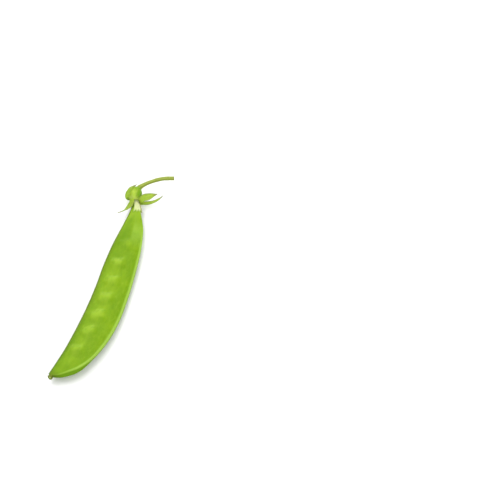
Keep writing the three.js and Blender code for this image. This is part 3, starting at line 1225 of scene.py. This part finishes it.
    def wall_marks(self, bowl: Array, turn: Array) -> dict[str, Array]:
        """Marks of the cup's wall: a vein on each rib, painted shade on one side and painted light on its
        front.

        Args:
            bowl: Shares of the cup's height.
            turn: Angles in radians round the axis.

        Returns:
            The arrays of the marks.
        """
        low_turn, rim_turn, spread = self.light
        from_light = turn - mix(low_turn, rim_turn, ease(bowl, 0.6, 1))
        return {
            "vein": np.clip(np.cos(self.ribs * turn), 0, 1) ** 3,
            # painted shade on one side of the cup, fading towards the rim
            "flank": bell(turn - self.flank[0], self.flank[1]) * (1 - ease(bowl, 0.6, 0.85)),
            # painted light on the cup's front
            "light": bell(from_light, spread) * ease(bowl, 0.25, 0.55),
        }

    def cup_skin(self) -> Skin:
        """Cup as one closed wall: up its outside, over its rounded rim and down its inside.

        The rim's height wavers with the sine of five times the turn, and the lip is a bell of the turn.

        Returns:
            The skin.
        """
        turn = round_steps(self.cup_sides)[None, :]
        low = self.outside[0][0]
        lip, lip_turn, lip_spread = self.lip
        top = self.rim + self.waver * np.sin(5 * turn + 1) + lip * bell(turn - lip_turn, lip_spread)
        up_rings, over_rings, down_rings = self.cup_rings
        upwards = np.sin(np.linspace(0, 1, up_rings) * math.pi / 2)[:, None]
        over = np.linspace(0, 1, over_rings + 2)[1:-1, None]
        downwards = np.linspace(1, 0.25, down_rings)[:, None]
        thick = mix(self.foot_wall, self.wall, ease(downwards, 0.2, 0.6))
        outside = self.cup_point(mix(low, top, upwards), turn)
        rim = self.cup_point(top + 0.5 * self.wall * np.sin(over * math.pi), turn, -self.wall * over)
        inside = self.cup_point(mix(low, top, downwards), turn, -thick)
        bowl = np.concatenate([upwards, np.ones(over.shape), downwards])
        marks = {"tip": np.zeros((1, 1)), "margin": np.zeros((1, 1)), "bowl": bowl}
        return Skin.over(np.concatenate([outside, rim, inside]), marks | self.wall_marks(bowl, turn))

    def sepal_skin(self, sepal: Sepal) -> Skin:
        """Thin closed blade of a sepal.

        Its spine starts on the cup's wall, where the blade has the wall's own curve. Beyond the rim a
        smooth step turns that into the blade's own width, direction and curl. A section is an arc: across
        times half the width, wrapped round a circle, with a fold at its midrib and waves along its margins.
        The thickness falls with the square of across.

        Args:
            sepal: The sepal.

        Returns:
            The skin.
        """
        rows, columns = self.blade_grid
        crowded = np.sin(np.linspace(-1, 1, columns) * math.pi / 2)
        along, across = np.meshgrid(np.linspace(0, 1, rows), crowded, indexing="ij")
        turn = math.radians(sepal.turn)
        heights, out = np.array(self.lobe_foot).T
        roots = self.cup_point(heights - sepal.early, np.full(heights.shape, turn), out)
        line = Curve(tuple(tuple(point) for point in roots) + sepal.spine)
        rim = line.share_at(len(roots) - 1)
        own = np.clip((along - rim) / (1 - rim), 0, 1)
        free = ease(along, 0.7 * rim, rim + 0.2)

        cup_axis, cup_side, cup_up = self.axes()
        first, last = (np.array(side) for side in sepal.sides)
        side = mix(math.cos(turn) * cup_up - math.sin(turn) * cup_side, first, free[..., None])
        side = mix(side, last, ease(along, rim + 0.15, 1)[..., None])
        forward = line.heading(along)
        side = squared(side, forward)
        outward = np.cross(forward, side)

        taper = np.clip((own - sepal.peak) / (sepal.thread - sepal.peak), 0, 1)
        share = mix(0.8, 1, ease(own, 0, sepal.peak)) * mix(1, sepal.thin, taper**1.4)
        share = share * (1 - 0.55 * own**6)
        width = mix(self.lobe_root[0], sepal.width * share, free)
        bend = mix(1 / self.lobe_root[1], 2 * sepal.wrap / sepal.width, free)
        angle = across * width / 2 * bend
        flutter = sepal.wave * across**2 * np.sin(own * 11 + across * 2) * ease(own, 0.1, 0.4) * share
        fold = self.midrib[0] * bell(across, self.midrib[1]) * free * share
        sideways = (np.sin(angle) / bend)[..., None] * side
        upright = ((np.cos(angle) - 1) / bend + flutter - fold)[..., None] * outward
        point = line.at(along) + sideways + upright
        outward = outward * np.cos(angle)[..., None] + side * np.sin(angle)[..., None]
        thin = (self.wall / 2) * (1 - 0.75 * across**2) * mix(1, 0.5, own)
        half = outward * thin[..., None]

        from_root = point - np.array(self.root)
        low = self.outside[0][0]
        bowl = np.clip((from_root @ cup_axis - low) / (self.rim - low), 0, 1)
        wall_marks = self.wall_marks(bowl, np.arctan2(from_root @ cup_up, from_root @ cup_side))
        own_marks = {
            "vein": np.clip(np.cos(across * 3 * math.pi), 0, 1) ** 4 * (1 - ease(own, 0.5, 0.9)),
            "flank": 0,
            # painted light on the sepal, strongest along its middle
            "light": sepal.tone * (1 - 0.5 * across**2),
        }
        marks = {name: mix(wall_marks[name], own_marks[name], free) for name in own_marks}
        marks |= {"tip": own, "margin": np.abs(across) * free, "bowl": mix(bowl, 1, free)}
        return Skin.sheet(point + half, point - half, marks)

    def build(self, finish: LeafFinish) -> bpy.types.Object:
        """Makes the calyx's piece in its finish.

        Args:
            finish: Finish of the whole piece.

        Returns:
            The object.
        """
        whole = self.cup_skin()
        for sepal in self.sepals:
            whole = whole.joined(self.sepal_skin(sepal))
        return whole.piece("calyx_cup_and_sepals", "calyx", finish.material())


# ---------------------------------------------------------------------- stem


@dataclass(frozen=True)
class Stem:
    """Ribbed stem from the calyx to its cut end.

    Attributes:
        spine: Its centreline from inside the cup to the cut.
        radius: Radius at the calyx and at the cut.
        ribs: Number of ribs.
        rib_depth: Height of a rib as a share of the radius.
        twist: Angle through which the ribs turn along the stem.
        flare: How much wider it is where it meets the cup.
        cut: Rings over the cut end, each with its share of the radius and its distance past the spine.
        rings: Number of rings from the cup to the cut.
        sides: Points round a ring.
    """

    spine: Curve = Curve(
        (
            (-59.3, -9.2, 5.3), (-60.2, -8.6, 5.6), (-61.6, -7.4, 6.2), (-63.5, -5.3, 6.9),
            (-65.0, -3.2, 7.4), (-66.4, -1.1, 7.8), (-67.8, 1.4, 8.0), (-69.5, 5.8, 8.0),
        )
    )  # fmt: skip
    radius: tuple[float, float] = (0.86, 0.98)
    ribs: int = 6
    rib_depth: float = 0.07
    twist: float = 0.2
    flare: float = 0.35
    cut: tuple[tuple[float, float], ...] = (
        (0.97, 0.05), (0.9, 0.07), (0.8, 0.04), (0.6, -0.03), (0.4, -0.08), (0.2, -0.1), (0.06, -0.1),
    )  # fmt: skip
    rings: int = 170
    sides: int = 72

    def skin(self) -> Skin:
        """Closed skin of the stem.

        Round the centreline the radius is its mean plus the rib depth times the cosine of the ribs'
        number times the turn, which slowly twists. At the cut the rings turn inwards over a rounded edge
        to a face that is dished a little.

        Returns:
            The skin.
        """
        cut = np.array(self.cut)
        along = np.concatenate([np.linspace(0, 1, self.rings), np.ones(len(cut))])[:, None]
        inwards = np.concatenate([np.ones(self.rings), cut[:, 0]])[:, None]
        beyond = np.concatenate([np.zeros(self.rings), cut[:, 1]])[:, None]
        turn = round_steps(self.sides)[None, :]
        centre, forward = self.spine.at(along), self.spine.heading(along)
        side = squared(np.cross(forward, UPWARDS), forward)
        up = np.cross(side, forward)
        rib = np.cos(self.ribs * (turn + self.twist * along))
        mean = mix(*self.radius, along) + self.flare * bell(along - 0.1, 0.1)
        wobble = 1 + 0.025 * np.sin(23 * along + 1) + 0.02 * np.sin(41 * along + 2 * turn)
        radius = mean * (1 + self.rib_depth * rib) * wobble * inwards
        rings = centre + forward * beyond[..., None] + radius[..., None] * spokes(turn, side, up)
        marks = {
            "rib": 0.5 + 0.5 * rib,
            # share towards the stem's upper side, which the finish paints as lit
            "top": 0.5 + 0.5 * np.sin(turn + 0.3),
            "fibre": 0.5 + 0.5 * np.sin(31 * turn + 6 * along),
            "cut": 1 - inwards + 0.3 * ease(along, 0.975, 1),
        }
        return Skin.over(rings, marks)

    def build(self, finish: StemFinish) -> bpy.types.Object:
        """Makes the stem's piece in its finish."""
        return self.skin().piece("stem_stalk", "stem", finish.material())


# ---------------------------------------------------------------------- withered flower parts


@dataclass(frozen=True)
class Filament:
    """Dry thread of a stamen.

    Attributes:
        start: Share of the pod's length where it begins, inside the cup.
        end: Share where it ends.
        angle: Angles round the pod at its start and its end.
        flare: How far its end stands off the pod.
    """

    start: float
    end: float
    angle: tuple[float, float]
    flare: float


@dataclass(frozen=True)
class Stamens:
    """Withered sheath of the stamens round the neck, with its filaments.

    Attributes:
        pod: The pod that it hugs.
        start: Share of the pod's length where it begins, inside the cup's mouth.
        end: Shares where its hem ends on the straight seam's side and on the arched seam's side.
        arc: Angles round the neck between which it lies.
        lift: Distance from the pod's skin to its middle.
        thickness: Its thickness.
        hem_waves: Sine waves of the hem's place, each with its height, its radians over the arc and the
            angle that it starts at.
        wrinkles: Sine waves of the lift, each with its height, its radians over the arc and along the
            sheath, and the angle that it starts at.
        grid: Number of points along the sheath and round the neck.
        filament_radius: Radius of a filament at its start and its end.
        filaments: The filaments.
    """

    pod: Pod
    start: float = 0.03
    end: tuple[float, float] = (0.1, 0.086)
    arc: tuple[float, float] = (1.2, 3.1)
    lift: float = 0.34
    thickness: float = 0.12
    hem_waves: tuple[tuple[float, float, float], ...] = ((0.003, 23, 0), (0.0018, 57, 1))
    wrinkles: tuple[tuple[float, float, float, float], ...] = ((0.07, 61, 3, 0), (0.05, 33, -4, 1))
    grid: tuple[int, int] = (60, 90)
    filament_radius: tuple[float, float] = (0.36, 0.2)
    filaments: tuple[Filament, ...] = (
        Filament(0.03, 0.088, (3.05, 3.2), 0.05),
        Filament(0.03, 0.082, (2.7, 2.85), 0.0),
    )

    def sheath_skin(self) -> Skin:
        """Papery sheath: the pod's own surface lifted, with lengthwise wrinkles and a torn hem.

        The hem's place wavers as a sum of sines of the arc, and the wrinkles are sines that run aslant.
        Towards the hem the sheath sinks into the pod.

        Returns:
            The skin.
        """
        share, arc = np.meshgrid(*(np.linspace(0, 1, count) for count in self.grid), indexing="ij")
        hem = mix(*self.end, arc) + sum(h * np.sin(n * arc + first) for h, n, first in self.hem_waves)
        along = mix(self.start, hem, share)
        angle = mix(*self.arc, arc)
        wrinkle = sum(h * np.sin(n * arc + k * share + first) for h, n, k, first in self.wrinkles)
        peel = (0.04 - self.lift) * share**2.5 + 0.05 * share**4 * np.sin(arc * 17)
        middle = self.lift + wrinkle * (0.4 + 0.6 * share) + peel
        front, rear = (self.pod.surface(along, angle, middle + s * self.thickness / 2)[0] for s in (1, -1))
        green = np.maximum(ease(share, 0.8, 1), ease(arc, 0.12, 0))
        return Skin.sheet(front, rear, {"dry": 0.7 * ease(arc, 0.84, 0.97), "green": green})

    def filament_skin(self, filament: Filament) -> Skin:
        """Thread along the pod's neck, which lifts off and thins towards its end.

        Args:
            filament: The filament.

        Returns:
            The skin.
        """
        share = np.linspace(0, 1, 40)
        along = mix(filament.start, filament.end, share)
        angle = mix(*filament.angle, share) + 0.05 * np.sin(9 * share)
        lift = self.lift + 0.1 + filament.flare * share**2
        centre = self.pod.surface(along, angle, lift)[0]
        forward = unit(np.gradient(centre, axis=0))
        side = squared(np.array([0.3, 0.2, 1.0]), forward)
        other = np.cross(forward, side)
        radius = mix(*self.filament_radius, share)[:, None, None]
        around = spokes(round_steps(12)[None, :], side[:, None], other[:, None])
        dry = mix(0.35, 0.55, ease(share, 0, 0.4))[:, None]
        return Skin.over(centre[:, None] + radius * around, {"dry": dry, "green": np.zeros((1, 1))})

    def build(self, finish: PaperFinish) -> bpy.types.Object:
        """Makes the piece of the sheath and its filaments.

        Args:
            finish: Finish of the whole piece.

        Returns:
            The object.
        """
        whole = self.sheath_skin()
        for filament in self.filaments:
            whole = whole.joined(self.filament_skin(filament))
        return whole.piece("stamen_sheath", "stamens", finish.material())


@dataclass(frozen=True)
class StyleStub:
    """Withered stub of the style on the beak.

    Attributes:
        foot: Where it starts, inside the beak's end.
        heading: Direction to its broken end.
        profile: Distances from the foot with the radius there.
    """

    foot: Point = (43.8, -5.65, 3.5)
    heading: Point = (0.86, -0.02, 0.5)
    profile: tuple[tuple[float, float], ...] = (
        (0, 0.65), (0.4, 0.9), (0.8, 0.98), (1.2, 1.03), (1.5, 1.04), (1.68, 0.9), (1.68, 0.65), (1.6, 0.35),
        (1.56, 0.1),
    )  # fmt: skip

    def skin(self) -> Skin:
        """Knob turned from its profile, with its radius uneven round and along it.

        Returns:
            The skin.
        """
        axis = unit(np.array(self.heading))
        side = squared(UPWARDS, axis)
        other = np.cross(axis, side)
        share = np.linspace(0, 1, 60)
        line = Curve(tuple((h, r, 0.0) for h, r in self.profile)).at(share)
        height, mean = line[:, :1], line[:, 1:2]
        turn = round_steps(48)[None, :]
        radius = mean * (1 + 0.08 * np.sin(3 * turn + 1 + 2 * height) + 0.05 * np.sin(7 * turn))
        rings = np.array(self.foot) + height[..., None] * axis + radius[..., None] * spokes(turn, side, other)
        return Skin.over(rings, {"break": ease(share, 0.74, 0.96)[:, None]})

    def build(self, finish: StubFinish) -> bpy.types.Object:
        """Makes the stub's piece in its finish."""
        return self.skin().piece("style_stub", "style", finish.material())


# ---------------------------------------------------------------------- studio


@dataclass(frozen=True)
class Lamp:
    """Soft square lamp that is aimed at the pod.

    Attributes:
        name: Its name.
        azimuth: Compass direction from the pod to it, in degrees from +X towards +Y.
        elevation: Its height above the horizon in degrees.
        distance: Metres from the pod.
        size: Side of its square in metres.
        power: Watts.
    """

    name: str
    azimuth: float
    elevation: float
    distance: float
    size: float
    power: float

    def place(self) -> None:
        """Puts the lamp in the scene."""
        a, e = math.radians(self.azimuth), math.radians(self.elevation)
        away = Vector((math.cos(a) * math.cos(e), math.sin(a) * math.cos(e), math.sin(e)))
        light = bpy.data.lights.new(self.name, "AREA")
        light.shape = "SQUARE"
        light.size = self.size
        light.energy = self.power
        made = bpy.data.objects.new(self.name, light)
        made.location = away * self.distance
        made.rotation_euler = away.to_track_quat("Z", "Y").to_euler()
        bpy.context.scene.collection.objects.link(made)


@dataclass(frozen=True)
class Studio:
    """Pale floor, soft lamps and the camera.

    Attributes:
        lamps: The lamps.
        sky: Strength of the even white light from all round.
        floor_side: Side of the square floor.
        eye: Where the camera stands.
        target: Point on the floor in the middle of its view.
        lens: Its focal length.
        sensor: Width of its sensor.
    """

    lamps: tuple[Lamp, ...] = (
        Lamp("key_lamp", 250, 70, 1.0, 0.8, 6.2),
        Lamp("low_lamp", 200, 25, 1.0, 0.45, 3.8),
        Lamp("fill_lamp", 70, 48, 1.2, 0.9, 5.6),
    )
    sky: float = 0.6
    floor_side: float = 5000
    eye: Point = (245.68, 154.29, 444.13)
    target: Point = (-47.77, 51.35, 0)
    lens: float = 85
    sensor: float = 36

    def build(self, finish: FloorFinish) -> None:
        """Makes the floor, the light and the camera.

        Args:
            finish: Finish of the floor.
        """
        scene = bpy.context.scene
        world = bpy.data.worlds.new("studio_air")
        world.use_nodes = True
        background = world.node_tree.nodes["Background"].inputs
        background["Color"].default_value = (1, 1, 1, 1)
        background["Strength"].default_value = self.sky
        scene.world = world
        scene.view_settings.view_transform = "Standard"
        for lamp in self.lamps:
            lamp.place()

        half = self.floor_side / 2 * MILLIMETRE
        corners = [(-half, -half, 0), (half, -half, 0), (half, half, 0), (-half, half, 0)]
        mesh = bpy.data.meshes.new("floor")
        mesh.from_pydata(corners, [], [(0, 1, 2, 3)])
        mesh.materials.append(finish.material())
        floor = bpy.data.objects.new("floor", mesh)
        scene.collection.objects.link(floor)

        eye, target = Vector(self.eye) * MILLIMETRE, Vector(self.target) * MILLIMETRE
        lens = bpy.data.cameras.new("camera")
        lens.lens = self.lens
        lens.sensor_width = self.sensor
        camera = bpy.data.objects.new("camera", lens)
        camera.location = eye
        camera.rotation_euler = (eye - target).to_track_quat("Z", "Y").to_euler()
        scene.collection.objects.link(camera)
        scene.camera = camera
        away = (eye - target).length / MILLIMETRE
        log.info("studio: %d lamps, camera %.0f mm from its target", len(self.lamps), away)


def main() -> None:
    """Builds the studio and every piece."""
    logging.basicConfig(level=logging.INFO, format="%(name)s: %(message)s")
    Studio().build(FloorFinish())
    pod = Pod()
    pod.build(PodFinish())
    Calyx().build(LeafFinish())
    Stem().build(StemFinish())
    Stamens(pod).build(PaperFinish())
    StyleStub().build(StubFinish())
    bpy.context.view_layer.update()


if __name__ == "__main__":
    main()
